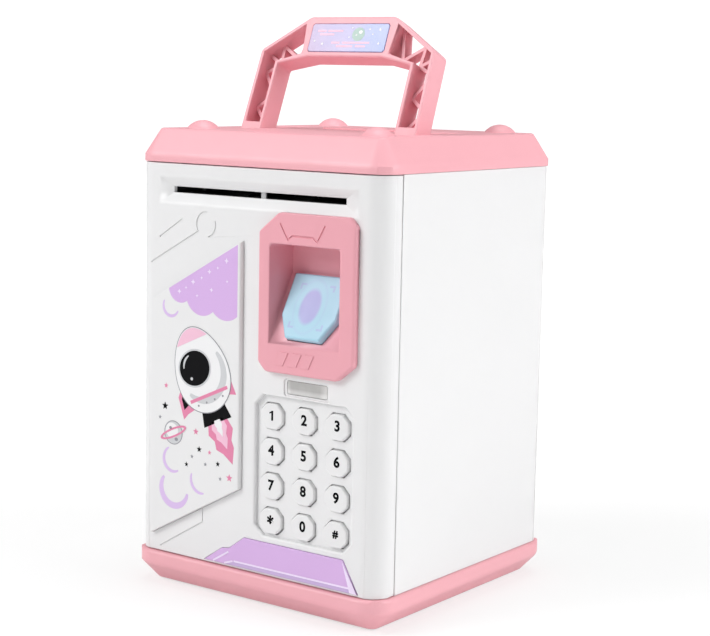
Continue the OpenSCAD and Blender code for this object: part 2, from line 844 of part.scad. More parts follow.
module key(col, row) {
    color(white) translate([key_x0 + col * key_pitch_x, 0, key_z0 + row * key_pitch_z]) {
        between_y(front_y + key_top, key_flange_y + eps) cut_rect(key_w, key_h, key_cut);
        between_y(key_flange_y, key_flange_y + key_flange_t) cut_rect(key_w + 1.6, key_h + 1.6, key_cut);
        between_y(key_flange_y, key_stem_y) circle(2.5);
    }
}

module key_1() { key(0, 3); }
module key_2() { key(1, 3); }
module key_3() { key(2, 3); }
module key_4() { key(0, 2); }
module key_5() { key(1, 2); }
module key_6() { key(2, 2); }
module key_7() { key(0, 1); }
module key_8() { key(1, 1); }
module key_9() { key(2, 1); }
module key_star() { key(0, 0); }
module key_0() { key(1, 0); }
module key_hash() { key(2, 0); }

module key_membrane() {
    color(dark) {
        between_y(board_y - 0.8, board_y) translate(well_c) round_rect(50, 60, 3);
        between_y(board_y - dome_t, board_y - 0.8 + eps) key_places() circle(3.5);
    }
}

module keypad_board() {
    color(board_green) between_y(board_y, board_y + board_t) difference() {
        front_rect([1, 54], [27.5, 104], 1.5);
        for (p = board_posts) translate(p) circle(p[1] < 60 ? 2 : 1.1);
    }
}

module main_board() {
    y1 = main_y + board_t;
    color(board_green) {
        between_y(main_y, y1) difference() {
            front_rect([2, 54], [27.5, 93], 1.5);
            for (p = board_posts) translate(p) circle(1.1);
        }
        between_y(board_y + board_t, main_y + eps) translate([27, 89]) square([24, 5], center = true);
        between_y(y1 - eps, y1 + 2) {
            translate([22, 62]) square([14, 14], center = true);
            translate([42, 70]) square([7, 9], center = true);
            translate([14, 84]) square([12, 5], center = true);
        }
        for (z = [40, 50]) between_y(y1 - eps, y1 + 4.5) translate([40, z]) circle(2.5);
    }
}

module board_screws() {
    color(steel) for (p = board_posts) {
        y = p[1] < 60 ? main_y + board_t : board_y + board_t;
        screw_forward(p[0], y, p[1], 0.9, 6, 1.8, 1);
    }
}

// ---------- sound and power ----------

module speaker() {
    y = box_y - box_wall - 0.3;
    color(dark) translate([speaker_c[0], y, speaker_c[1]]) rotate([90, 0, 0]) difference() {
        union() {
            cylinder(r = speaker_r, h = 2.4);
            translate([0, 0, 2.3]) cylinder(r1 = speaker_r - 1, r2 = 10, h = 4.8);
            translate([0, 0, 7]) cylinder(r = 10, h = 4.6);
        }
        translate([0, 0, -eps]) cylinder(r1 = speaker_r - 2, r2 = 6, h = 5);
    }
}

module battery_tray() {
    y0 = cell_y - cell_r - tray_t - 0.1;
    y1 = box_y - box_wall - 0.2;
    color(dark) difference() {
        union() {
            block([tray_x[0], y0, tray_z[0]], [tray_x[1], y1, tray_z[1]]);
            between_y(y1 - 9, y1) translate(hatch_screw) circle(2.7);
        }
        block([tray_x[0] + tray_t, y0 + tray_t, tray_z[0] + tray_t],
            [tray_x[1] - tray_t, y1 + 1, tray_z[1] - tray_t]);
        between_y(y1 - 8, y1 + 1) translate(hatch_screw) circle(1.1);
        for (x = hook_x) block([x - 3.3, y1 - 1.1, tray_z[0] - 1], [x + 3.3, y1 + 1, tray_z[0] + 2]);
    }
}

// One cell standing up, its negative end at z = 0
module cell() {
    cylinder(r = cell_r, h = cell_l);
    translate([0, 0, cell_l - eps]) cylinder(r = 2.7, h = nub_l + eps);
}

cell_low = tray_z[0] + tray_t + contact_t;
cell_high = tray_z[1] - tray_t - contact_t;

module batteries() {
    color(brass) for (i = [0:2]) translate([cell_x[i], cell_y, 0])
        if (i % 2 == 0) translate([0, 0, cell_low + spring_l]) cell();
        else translate([0, 0, cell_high - spring_l]) mirror([0, 0, 1]) cell();
}

// Flat plate with a stack of touching wire rings for the coil that presses on a cell
module contact(sprung) {
    translate([-5.5, -5.5, 0]) cube([11, 11, contact_t]);
    wire = 0.42;
    turns = 7;
    first = contact_t + wire - 0.1;
    last = contact_t + spring_l - wire;
    if (sprung) rotate_extrude() for (k = [0:turns - 1])
        translate([4.2 - 0.16 * k, first + (last - first) * k / (turns - 1)]) circle(wire);
}

module battery_contacts() {
    color(steel) for (i = [0:2]) translate([cell_x[i], cell_y, 0]) {
        translate([0, 0, cell_low - contact_t]) contact(i % 2 == 0);
        translate([0, 0, cell_high + contact_t]) mirror([0, 0, 1]) contact(i % 2 == 1);
    }
}

module battery_cover() {
    in_y = box_y - box_wall;
    color(white) difference() {
        union() {
            between_y(in_y, box_y) {
                front_rect([hatch_x[0] + 0.3, hatch_x[1] - 0.3], [hatch_z[0] + 0.3, hatch_z[1] - 0.3], 1.7);
                translate(hatch_screw) circle(4);
            }
            for (x = hook_x) between_y(in_y - 0.9, in_y + eps) translate([x, hatch_z[0]])
                square([6, 3.2], center = true);
        }
        between_y(in_y - 1, box_y + 1) translate(hatch_screw) circle(1.4);
        between_y(box_y - 0.9, box_y + 1) translate(hatch_screw) circle(2.5);
        for (i = [0:4]) between_y(box_y - 0.6, box_y + 1) translate([-32.25, 66 + 2.4 * i])
            square([16, 1], center = true);
    }
}

module battery_cover_screw() {
    color(steel) screw_forward(hatch_screw[0], box_y - 0.9, hatch_screw[1], 1.05, 7.5, 2.2, 0.8);
}

// ---------- note feeder ----------

// Involute of a circle: the angle swept at pressure angle a
function inv(a) = tan(a) * 180 / PI - a;
// Half the angle that a tooth fills at radius r
function tooth_half(teeth, r) =
    let (rp = gear_m * teeth / 2, rb = rp * cos(20))
    86 / teeth + inv(20) - inv(acos(min(1, rb / max(r, rb))));

module gear_2d(teeth) {
    rp = gear_m * teeth / 2;
    root = rp - 0.62;
    tip = rp + 0.4;
    radii = [root, rp - 0.25, rp, rp + 0.2, tip];
    polygon([for (i = [0:teeth - 1], k = [0:9])
        let (r = k < 5 ? radii[k] : radii[9 - k],
            thin = k % 9 == 0 ? 0.8 : 1,
            a = i * 360 / teeth + (k < 5 ? -1 : 1) * thin * tooth_half(teeth, r))
        r * [cos(a), sin(a)]]);
}

module x_rod(x0, x1, y, z, r) {
    translate([x0, y, z]) rotate([0, 90, 0]) cylinder(r = r, h = x1 - x0);
}

module note_guide() {
    y0 = front_y + 5;
    y1 = box_y - box_wall;
    lo = slot_z - slot_h / 2;
    hi = slot_z + slot_h / 2;
    top = hi + 1.2;
    color(dark) difference() {
        union() {
            block([-guide_x - guide_t, y0, 156.5], [-guide_x, y1, 184.5]);
            block([guide_x, y0, 168], [guide_x + guide_t, y1, 184.5]);
            block([-guide_x - eps, y0, lo - 1.2], [guide_x + eps, y1, lo]);
            block([-guide_x - eps, y0, hi], [guide_x + eps, feed_y - 3.2, top]);
            block([-guide_x - eps, feed_y + 3.2, hi], [guide_x + eps, y1, top]);
            for (s = [-1, 1]) block([s * 3.5 - 0.8, y0, top - eps], [s * 3.5 + 0.8, lever_y + 1.8, 184]);
        }
        for (s = [-1, 1]) block([s * tyre_x - tyre_w / 2 - 0.5, feed_y - drive_r - 0.4, lo - 2],
            [s * tyre_x + tyre_w / 2 + 0.5, feed_y + drive_r + 0.4, lo + eps]);
        block([-2.4, y0 - 1, lo - 2], [2.4, lever_y + 6, top + 1]);
        x_rod(-side_x, side_x, feed_y, drive_z, drive_shaft_r + shaft_fit);
        x_rod(-side_x, side_x, feed_y, idler_z, idler_shaft_r + shaft_fit);
        x_rod(-5, 5, lever_y, lever_z, lever_pin_r + shaft_fit);
        x_rod(-guide_x - guide_t - 1, -guide_x + 1, feed_y, motor_z, 2.6);
    }
}

module note_lever() {
    color(white) {
        x_rod(-4.3, 4.3, lever_y, lever_z, lever_pin_r);
        x_rod(-2, 2, lever_y, lever_z, 1.4);
        block([-1.2, lever_y - 1.4, slot_z - 1.9], [1.2, lever_y - 0.4, lever_z]);
    }
}

module note_switch() {
    color(dark) block([5, lever_y - 1.5, slot_z + slot_h / 2 + 1.2], [11, lever_y + 4.5, 184.3]);
}

module drive_shaft() {
    color(steel) x_rod(gear_x - 0.4, guide_x + guide_t + 0.8, feed_y, drive_z, drive_shaft_r);
}

module tyre(s, z, r, bore) {
    difference() {
        x_rod(s * tyre_x - tyre_w / 2, s * tyre_x + tyre_w / 2, feed_y, z, r);
        x_rod(s * tyre_x - tyre_w, s * tyre_x + tyre_w, feed_y, z, bore);
    }
}

module drive_tyres() {
    color(dark) for (s = [-1, 1]) tyre(s, drive_z, drive_r, drive_shaft_r);
}

module roller_gear() {
    color(white) difference() {
        translate([0, feed_y, drive_z]) along_x(gear_x, gear_x + gear_w) gear_2d(gear_teeth);
        x_rod(gear_x - 1, gear_x + gear_w + 1, feed_y, drive_z, drive_shaft_r);
    }
}

module idler_shaft() {
    color(steel) x_rod(-guide_x - guide_t - 0.4, guide_x + guide_t + 0.4, feed_y, idler_z, idler_shaft_r);
}

module idler_tyres() {
    color(dark) for (s = [-1, 1]) tyre(s, idler_z, idler_r, idler_shaft_r);
}

module feed_motor() {
    x0 = -guide_x;
    color(steel) difference() {
        union() {
            translate([x0, feed_y, motor_z]) rotate([90, 0, 90]) linear_extrude(motor_l) intersection() {
                circle(7.7);
                square([15.4, 12], center = true);
            }
            x_rod(x0 - guide_t + 0.3, x0 + 1, feed_y, motor_z, 2.4);
            x_rod(x0 + motor_l - eps, x0 + motor_l + 1.8, feed_y, motor_z, 2.4);
        }
        x_rod(x0 - guide_t, x0 + 9, feed_y, motor_z, 1.05);
    }
}

module motor_pinion() {
    color(white) {
        translate([0, feed_y, motor_z]) along_x(gear_x, gear_x + gear_w)
            rotate(180 / pinion_teeth) gear_2d(pinion_teeth);
        x_rod(gear_x, -guide_x + 8, feed_y, motor_z, 1);
    }
}

// ---------- bolt ----------

bolt_mid_y = (bolt_y[0] + bolt_y[1]) / 2;

module latch_solenoid() {
    color(steel) difference() {
        union() {
            block([coil_x[0], bolt_mid_y - 4.6, bolt_z - 5], [coil_x[1], bolt_mid_y + 3.9, bolt_z + 5]);
            x_rod(coil_x[0] - 2, coil_x[0] + eps, bolt_mid_y, bolt_z, 3);
        }
        x_rod(coil_x[0] + 2, coil_x[1] + 1, bolt_mid_y, bolt_z, plunger_r + shaft_fit);
    }
}

module latch_plunger() {
    color(steel) x_rod(coil_x[0] + 4, bolt_x[0] + 2, bolt_mid_y, bolt_z, plunger_r);
}

module latch_bolt() {
    color(white) difference() {
        block([bolt_x[0], bolt_y[0], bolt_z - bolt_h / 2], [bolt_x[1], bolt_y[1], bolt_z + bolt_h / 2]);
        x_rod(bolt_x[0] - 1, bolt_x[0] + 2, bolt_mid_y, bolt_z, plunger_r);
    }
}

base_tray();
foot_pads();
base_screws();
body_shell();
strike_plate();
strike_screws();
ceiling_panel();
lid();
lid_screws();
coin_slot_insert();
hinge_pins();
handle_pins();
handle_grip();
handle_label();
door_shell();
door_back_cover();
cover_screws();
artwork_panel();
lower_trim();
sensor_bezel();
sensor_pad();
pad_switch();
led_window();
status_leds();
key_1();
key_2();
key_3();
key_4();
key_5();
key_6();
key_7();
key_8();
key_9();
key_star();
key_0();
key_hash();
key_membrane();
keypad_board();
main_board();
board_screws();
speaker();
battery_tray();
batteries();
battery_contacts();
battery_cover();
battery_cover_screw();
note_guide();
note_lever();
note_switch();
drive_shaft();
drive_tyres();
roller_gear();
idler_shaft();
idler_tyres();
feed_motor();
motor_pinion();
latch_solenoid();
latch_plunger();
latch_bolt();
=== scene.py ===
"""Looks for the toy safe coin bank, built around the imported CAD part.

Rounded copies of the visible mouldings stand for their CAD nodes. The artwork and the key numbers
are thin solids printed on their faces. Every piece has a procedural material. Lengths in the tables
below are in millimetres in the part's own frame: +X right, +Y back, +Z up.
"""

import json
import math
from collections import namedtuple

import bmesh
import bpy
from mathutils import Matrix, Vector

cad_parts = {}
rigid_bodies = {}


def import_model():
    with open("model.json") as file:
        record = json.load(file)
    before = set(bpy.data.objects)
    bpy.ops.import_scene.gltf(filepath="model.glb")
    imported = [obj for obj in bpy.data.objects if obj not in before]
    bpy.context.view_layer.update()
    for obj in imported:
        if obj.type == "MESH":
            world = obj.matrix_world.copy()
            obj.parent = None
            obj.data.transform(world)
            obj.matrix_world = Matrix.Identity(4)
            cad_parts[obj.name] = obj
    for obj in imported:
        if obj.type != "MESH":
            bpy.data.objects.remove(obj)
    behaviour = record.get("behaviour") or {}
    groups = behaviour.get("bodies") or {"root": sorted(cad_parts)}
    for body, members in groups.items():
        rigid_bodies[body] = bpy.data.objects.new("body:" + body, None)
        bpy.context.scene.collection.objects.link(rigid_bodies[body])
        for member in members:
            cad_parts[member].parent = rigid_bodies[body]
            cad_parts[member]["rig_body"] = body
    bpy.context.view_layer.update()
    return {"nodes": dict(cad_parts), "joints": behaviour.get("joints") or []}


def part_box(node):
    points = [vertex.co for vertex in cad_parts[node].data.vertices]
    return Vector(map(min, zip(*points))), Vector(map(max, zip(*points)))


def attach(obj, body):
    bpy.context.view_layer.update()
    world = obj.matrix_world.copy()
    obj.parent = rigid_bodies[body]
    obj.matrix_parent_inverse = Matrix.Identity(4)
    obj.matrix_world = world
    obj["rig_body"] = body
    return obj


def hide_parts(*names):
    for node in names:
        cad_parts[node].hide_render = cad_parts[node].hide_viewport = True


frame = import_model()
nodes = frame["nodes"]
MM = 0.001

# The door's front plane, from the door's own box, and the cabinet's sides and depth behind it
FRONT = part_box("door_shell")[0].y / MM
SIDE = 67.5
BODY_DEPTH = 131
# Heights of the base's rim and the lid
BASE_TOP = 15.3
LID_FOOT = 190.3
LID_TOP = 204.8
# How far the door's fittings stand out of its front, or lie in it
PANEL_OUT = 2
TRIM_OUT = 0.6
SENSOR_OUT = 3
KEY_IN = 0.5
WELL_IN = 2
# The inner face of the door's back cover
DOOR_BACK = -40
# The handle's lean at rest and half its thickness
HANDLE_LEAN = math.radians(21)
HANDLE_FRONT = 5.4
# The pad's slope, the foot of that slope, and the pad's middle and top measured from there
PAD_SLOPE = math.radians(28.7)
PAD_FOOT = Vector((28.8, FRONT - SENSOR_OUT, 117))
PAD_UP = 17.6
PAD_TOP = 3.0


# ---------- camera, light and floor ----------

OBJECT_MIDDLE = Vector((0, 0, 0.12))


def add_camera():
    """The photograph's viewpoint: a long lens from the front right, a little above the middle."""
    place = Vector((461.4, -619.4, 229.3)) * MM
    target = Vector((5.12, 1.1, 120.47)) * MM
    roll = math.radians(1.13)
    data = bpy.data.cameras.new("camera")
    data.lens = 87.1
    data.sensor_width = 36
    camera = bpy.data.objects.new("camera", data)
    bpy.context.scene.collection.objects.link(camera)
    turn = (target - place).to_track_quat("-Z", "Y").to_matrix().to_4x4()
    camera.matrix_world = Matrix.Translation(place) @ turn @ Matrix.Rotation(roll, 4, "Z")
    bpy.context.scene.camera = camera


def add_area_light(name, place, size, power):
    """A square soft box aimed at the middle of the object."""
    data = bpy.data.lights.new(name, "AREA")
    data.shape = "SQUARE"
    data.size = size
    data.energy = power
    light = bpy.data.objects.new(name, data)
    bpy.context.scene.collection.objects.link(light)
    light.location = place
    light.rotation_euler = (OBJECT_MIDDLE - Vector(place)).to_track_quat("-Z", "Y").to_euler()


def add_stage_mesh(name, mesh, material, seen, lights):
    """A stage piece that only the camera sees, or one that only lights the object from below."""
    mesh.materials.append(material)
    piece = bpy.data.objects.new(name, mesh)
    bpy.context.scene.collection.objects.link(piece)
    piece.visible_camera = seen
    piece.visible_shadow = False
    piece.visible_diffuse = lights
    piece.visible_glossy = lights
    piece.visible_transmission = lights


def floor_mesh(name, z):
    half = 6
    mesh = bpy.data.meshes.new(name)
    corners = [(-half, -half, z), (half, -half, z), (half, half, z), (-half, half, z)]
    mesh.from_pydata(corners, [], [(0, 1, 2, 3)])
    return mesh


def glowing(name, colour, glow):
    graph = Graph(name, colour, rough=0.9)
    graph.shader.inputs["Emission Color"].default_value = (1, 1, 1, 1)
    graph.shader.inputs["Emission Strength"].default_value = glow
    return graph


def shadow_floor():
    """A white floor that glows less near the object, so a faint shadow shows there but no horizon."""
    graph = glowing("floor", (0.3, 0.3, 0.3), 1)
    reach = graph.node("ShaderNodeVectorMath", operation="LENGTH")
    graph.join(graph.place, reach.inputs[0])
    graph.join(graph.fit(reach.outputs["Value"], 0.15, 1.2, 0.66, 1),
               graph.shader.inputs["Emission Strength"])
    return graph.material


def add_studio():
    """A white light tent: soft world light and three soft boxes, at the front left, beyond the right
    side and overhead. The camera sees a white floor with a faint shadow. A second floor, which the
    camera doesn't see, throws light back up."""
    world = bpy.data.worlds.new("tent")
    world.use_nodes = True
    background = world.node_tree.nodes["Background"]
    background.inputs["Color"].default_value = (1, 1, 1, 1)
    background.inputs["Strength"].default_value = 0.25
    bpy.context.scene.world = world
    add_area_light("key", (-1.0, -1.45, 1.35), size=1.1, power=30)
    add_area_light("side", (1.7, 0.45, 0.9), size=1.2, power=24)
    add_area_light("top", (0.0, 0.2, 2.2), size=1.2, power=18)

    add_stage_mesh("floor", floor_mesh("floor", 0), shadow_floor(), seen=True, lights=False)
    add_stage_mesh("floor_bounce", floor_mesh("floor_bounce", -0.001),
                   glowing("floor_bounce", (0.8, 0.8, 0.8), 0.08).material, seen=False, lights=True)
    dome = bpy.data.meshes.new("backdrop")
    work = bmesh.new()
    bmesh.ops.create_icosphere(work, subdivisions=4, radius=8)
    work.to_mesh(dome)
    work.free()
    add_stage_mesh("backdrop", dome, glowing("backdrop", (0, 0, 0), 1.1).material,
                   seen=True, lights=False)
    bpy.context.scene.view_settings.view_transform = "Standard"


# ---------- materials ----------

class Graph:
    """One material's node tree, with short calls for the nodes used here."""

    def __init__(self, name, colour, rough, metallic=0.0):
        self.material = bpy.data.materials.new(name)
        self.material.use_nodes = True
        self.tree = self.material.node_tree
        self.shader = self.tree.nodes["Principled BSDF"]
        self.shader.inputs["Base Color"].default_value = (*colour, 1)
        self.shader.inputs["Roughness"].default_value = rough
        self.shader.inputs["Metallic"].default_value = metallic
        self.place = self.node("ShaderNodeTexCoord").outputs["Object"]

    def node(self, kind, **settings):
        node = self.tree.nodes.new(kind)
        for key, value in settings.items():
            setattr(node, key, value)
        return node

    def join(self, source, socket):
        self.tree.links.new(source, socket)

    def put(self, socket, value):
        """A link from another node's output, or a plain value."""
        if isinstance(value, bpy.types.NodeSocket):
            self.join(value, socket)
        else:
            socket.default_value = value

    def moved(self, scale=(1, 1, 1), turn=(0, 0, 0), shift=(0, 0, 0)):
        """Object coordinates after a mapping."""
        node = self.node("ShaderNodeMapping")
        node.inputs["Scale"].default_value = scale
        node.inputs["Rotation"].default_value = turn
        node.inputs["Location"].default_value = shift
        self.join(self.place, node.inputs["Vector"])
        return node.outputs["Vector"]

    def noise(self, scale, detail=2.0, where=None):
        node = self.node("ShaderNodeTexNoise")
        node.inputs["Scale"].default_value = scale
        node.inputs["Detail"].default_value = detail
        self.join(where or self.place, node.inputs["Vector"])
        return node.outputs["Fac"]

    def fit(self, value, low, high, to_low, to_high):
        """value moved from one range to another, and clamped to it."""
        node = self.node("ShaderNodeMapRange")
        self.put(node.inputs["Value"], value)
        limits = zip(("From Min", "From Max", "To Min", "To Max"), (low, high, to_low, to_high))
        for name, limit in limits:
            node.inputs[name].default_value = limit
        return node.outputs["Result"]

    def math(self, operation, a, b=0.0):
        node = self.node("ShaderNodeMath", operation=operation)
        self.put(node.inputs[0], a)
        self.put(node.inputs[1], b)
        return node.outputs["Value"]

    def window(self, value, low, high, soft):
        """1 where value lies between low and high, with soft edges inside them, and 0 outside."""
        return self.math("MULTIPLY", self.fit(value, low, low + soft, 0, 1),
                         self.fit(value, high - soft, high, 1, 0))

    def mix(self, factor, a, b):
        """Colour a where factor is 0, colour b where it is 1."""
        node = self.node("ShaderNodeMix", data_type="RGBA")
        self.put(node.inputs[0], factor)
        self.put(node.inputs[6], (*a, 1) if isinstance(a, tuple) else a)
        self.put(node.inputs[7], (*b, 1) if isinstance(b, tuple) else b)
        return node.outputs[2]

    def bump(self, *layers):
        """Stacks bump layers, each a height and the height's full size in metres."""
        normal = None
        for height, size in layers:
            node = self.node("ShaderNodeBump")
            node.inputs["Distance"].default_value = size
            self.join(height, node.inputs["Height"])
            if normal:
                self.join(normal, node.inputs["Normal"])
            normal = node.outputs["Normal"]
        self.join(normal, self.shader.inputs["Normal"])


def shade(colour, factor):
    return tuple(min(1.0, channel * factor) for channel in colour)


def moulded(name, colour, rough, grain=0.000006, spread=0.012):
    """Injection-moulded plastic: faint flow mottling, a fine spark-eroded grain and slow ripples."""
    graph = Graph(name, colour, rough)
    flow = graph.noise(38, 3)
    graph.join(graph.mix(flow, shade(colour, 1 - spread), shade(colour, 1 + spread)),
               graph.shader.inputs["Base Color"])
    graph.join(graph.fit(graph.noise(160, 2), 0.3, 0.7, rough - 0.04, rough + 0.04),
               graph.shader.inputs["Roughness"])
    graph.bump((graph.noise(22, 1), 0.00006), (graph.noise(3800, 2), grain))
    return graph.material


def ink(name, colour, rough=0.35, shine=0.5):
    """Printed film: a faint halftone in the colour and a slightly uneven gloss."""
    graph = Graph(name, colour, rough)
    graph.shader.inputs["Specular IOR Level"].default_value = shine
    dots = graph.noise(5200, 0)
    graph.join(graph.mix(graph.fit(dots, 0.35, 0.65, 0, 1), shade(colour, 0.985), shade(colour, 1.015)),
               graph.shader.inputs["Base Color"])
    graph.join(graph.fit(graph.noise(90, 2), 0.3, 0.7, rough - 0.04, rough + 0.04),
               graph.shader.inputs["Roughness"])
    return graph.material


def brushed_steel():
    graph = Graph("steel", (0.62, 0.63, 0.65), 0.32, metallic=1.0)
    lines = graph.noise(1, 3, graph.moved(scale=(2400, 2400, 160)))
    graph.join(graph.mix(lines, (0.56, 0.57, 0.59), (0.66, 0.67, 0.69)),
               graph.shader.inputs["Base Color"])
    graph.join(graph.fit(lines, 0.2, 0.8, 0.24, 0.42), graph.shader.inputs["Roughness"])
    graph.bump((lines, 0.000008))
    return graph.material


def rubber():
    graph = Graph("rubber", (0.03, 0.03, 0.03), 0.75)
    graph.join(graph.mix(graph.noise(220, 4), (0.022, 0.022, 0.023), (0.045, 0.044, 0.043)),
               graph.shader.inputs["Base Color"])
    graph.join(graph.fit(graph.noise(700, 3), 0.3, 0.7, 0.66, 0.86), graph.shader.inputs["Roughness"])
    graph.bump((graph.noise(2600, 3), 0.00002))
    return graph.material


def circuit_board():
    """Green solder mask with a hint of copper tracks under it."""
    graph = Graph("board", (0.02, 0.13, 0.05), 0.35)
    cells = graph.node("ShaderNodeTexBrick")
    cells.inputs["Scale"].default_value = 420
    cells.inputs["Mortar Size"].default_value = 0.06
    cells.inputs["Color1"].default_value = (0.016, 0.12, 0.045, 1)
    cells.inputs["Color2"].default_value = (0.022, 0.15, 0.055, 1)
    cells.inputs["Mortar"].default_value = (0.06, 0.24, 0.09, 1)
    graph.join(graph.moved(turn=(math.pi / 2, 0, 0)), cells.inputs["Vector"])
    graph.join(cells.outputs["Color"], graph.shader.inputs["Base Color"])
    graph.bump((cells.outputs["Fac"], 0.00003))
    return graph.material


def dry_cell():
    """A cell's printed can: a dark sleeve with a copper-coloured end."""
    graph = Graph("cell", (0.55, 0.4, 0.12), 0.3, metallic=0.9)
    split = graph.node("ShaderNodeSeparateXYZ")
    graph.join(graph.place, split.inputs["Vector"])
    sleeve = graph.fit(split.outputs["Z"], 0.0408, 0.0410, 0, 1)
    graph.join(graph.mix(sleeve, (0.03, 0.03, 0.035), (0.62, 0.36, 0.16)),
               graph.shader.inputs["Base Color"])
    graph.join(graph.fit(graph.noise(300, 2), 0.3, 0.7, 0.24, 0.36), graph.shader.inputs["Roughness"])
    return graph.material


def lamp_lens():
    graph = Graph("led", (0.75, 0.06, 0.05), 0.15)
    graph.shader.inputs["Transmission Weight"].default_value = 0.4
    graph.join(graph.mix(graph.noise(900, 2), (0.70, 0.04, 0.035), (0.80, 0.09, 0.07)),
               graph.shader.inputs["Base Color"])
    return graph.material


def smoked_window():
    """Grey clear plastic over a dark gap, with painted shade: darkest at the upper left, where the gap is
    deepest, and painted lighter towards both ends and the foot.
    """
    graph = Graph("window", (0.42, 0.43, 0.43), 0.16)
    split = graph.node("ShaderNodeSeparateXYZ")
    graph.join(graph.place, split.inputs["Vector"])
    # Painted light and shade: the colour is lighter towards the right end, the left end and the foot, and
    # darkest at the upper left.
    right = graph.fit(split.outputs["X"], 0.0355, 0.0385, 0.0, 0.55)
    left = graph.fit(split.outputs["X"], 0.0205, 0.0185, 0.0, 0.5)
    foot = graph.fit(split.outputs["Z"], 0.0988, 0.0974, 0.0, 0.6)
    cloud = graph.fit(graph.noise(260, 3), 0.3, 0.7, -0.06, 0.1)
    painted_lightness = graph.math("ADD", graph.math("ADD", right, left), graph.math("ADD", foot, cloud))
    graph.join(graph.mix(painted_lightness, (0.40, 0.40, 0.39), (0.70, 0.70, 0.69)),
               graph.shader.inputs["Base Color"])
    graph.shader.inputs["Coat Weight"].default_value = 0.4
    graph.shader.inputs["Coat Roughness"].default_value = 0.05
    return graph.material


def label_film():
    """The handle's printed label: pale lilac that drifts to pale blue along its length."""
    graph = Graph("label_film", (0.55, 0.55, 0.82), 0.25)
    split = graph.node("ShaderNodeSeparateXYZ")
    graph.join(graph.place, split.inputs["Vector"])
    along = graph.fit(split.outputs["X"], -0.021, 0.021, 0.0, 1.0)
    drift = graph.fit(graph.noise(70, 2), 0.3, 0.7, -0.22, 0.22)
    graph.join(graph.mix(graph.math("ADD", along, drift), (0.49, 0.40, 0.61), (0.36, 0.44, 0.74)),
               graph.shader.inputs["Base Color"])
    graph.join(graph.fit(graph.noise(140, 2), 0.3, 0.7, 0.2, 0.3), graph.shader.inputs["Roughness"])
    return graph.material


def printed_pad():
    """Pale blue moulding with a soft lilac oval, a ring round it and four small corner marks."""
    base = (0.39, 0.64, 0.78)
    mark = (0.41, 0.42, 0.73)
    graph = Graph("pad_blue", base, 0.45)
    turn = -(math.pi / 2 - PAD_SLOPE)
    shift = Matrix.Rotation(turn, 3, "X") @ (PAD_FOOT * MM)
    flat = graph.moved(turn=(turn, 0, 0), shift=(-shift.x, -shift.y - PAD_UP * MM, -shift.z))
    split = graph.node("ShaderNodeSeparateXYZ")
    graph.join(flat, split.inputs["Vector"])
    across = graph.math("MULTIPLY", split.outputs["X"], 1 / MM)
    up = graph.math("MULTIPLY", split.outputs["Y"], 1 / MM)

    oval_across = graph.math("DIVIDE", graph.math("ADD", across, 0.8), 5.4)
    oval_up = graph.math("DIVIDE", up, 8.4)
    from_middle = graph.math("SQRT", graph.math("ADD", graph.math("POWER", oval_across, 2),
                                                graph.math("POWER", oval_up, 2)))
    oval = graph.fit(from_middle, 0.82, 1.06, 1, 0)
    ring = graph.math("MULTIPLY", graph.window(from_middle, 1.3, 1.6, 0.15), 0.14)

    far_across = graph.math("ABSOLUTE", across)
    far_up = graph.math("ABSOLUTE", up)
    block = graph.math("MULTIPLY", graph.window(far_across, 5.8, 9.2, 0.4),
                       graph.window(far_up, 7.2, 10.4, 0.4))
    inner = graph.math("MULTIPLY", graph.fit(far_across, 7.9, 8.2, 1, 0),
                       graph.fit(far_up, 9.1, 9.4, 1, 0))
    bracket = graph.math("MULTIPLY", block, graph.math("SUBTRACT", 1, inner))
    corners = graph.math("MULTIPLY", bracket, 0.55)

    print_on = graph.math("MAXIMUM", graph.math("MAXIMUM", oval, ring), corners)
    on_top = graph.fit(split.outputs["Z"], (PAD_TOP - 0.5) * MM, (PAD_TOP - 0.2) * MM, 0, 1)
    tint = graph.mix(graph.noise(60, 3), shade(base, 0.985), shade(base, 1.015))
    graph.join(graph.mix(graph.math("MULTIPLY", print_on, on_top), tint, mark),
               graph.shader.inputs["Base Color"])
    graph.join(graph.fit(graph.noise(180, 2), 0.3, 0.7, 0.4, 0.5), graph.shader.inputs["Roughness"])
    graph.bump((graph.noise(3800, 2), 0.000008))
    return graph.material


PINK = (0.86, 0.42, 0.47)
WHITE = (0.79, 0.79, 0.795)
LILAC = (0.66, 0.43, 0.76)
finishes = {
    "pink": moulded("pink", PINK, 0.42),
    "white": moulded("white", WHITE, 0.36),
    "lilac": moulded("lilac", LILAC, 0.38),
    "pad_blue": printed_pad(),
    "window": smoked_window(),
    "led": lamp_lens(),
    "rubber": rubber(),
    "dark_plastic": moulded("dark_plastic", (0.032, 0.032, 0.035), 0.5, grain=0.00002, spread=0.1),
    "board": circuit_board(),
    "cell": dry_cell(),
    "steel": brushed_steel(),
}
inks = {
    "white": ink("ink_white", (0.84, 0.84, 0.85)),
    "pearl": ink("ink_pearl", (0.60, 0.61, 0.63)),
    "grey": ink("ink_grey", (0.28, 0.28, 0.31)),
    "black": ink("ink_black", (0.006, 0.006, 0.007), rough=0.4, shine=0.05),
    "lilac": ink("ink_lilac", (0.66, 0.43, 0.77)),
    "moon": ink("ink_moon", (0.68, 0.50, 0.80)),
    "pale_lilac": ink("ink_pale_lilac", (0.84, 0.73, 0.93)),
    "dusk": ink("ink_dusk", (0.56, 0.42, 0.70)),
    "pink": ink("ink_pink", (0.74, 0.22, 0.38)),
    "pale_pink": ink("ink_pale_pink", (0.86, 0.52, 0.66)),
    "sage": ink("ink_sage", (0.36, 0.52, 0.46)),
}


# ---------- rounded mouldings ----------

Edge = namedtuple("Edge", "x y z along convex walls")


def near(value, goal, slack=0.15):
    return abs(value - goal) < slack


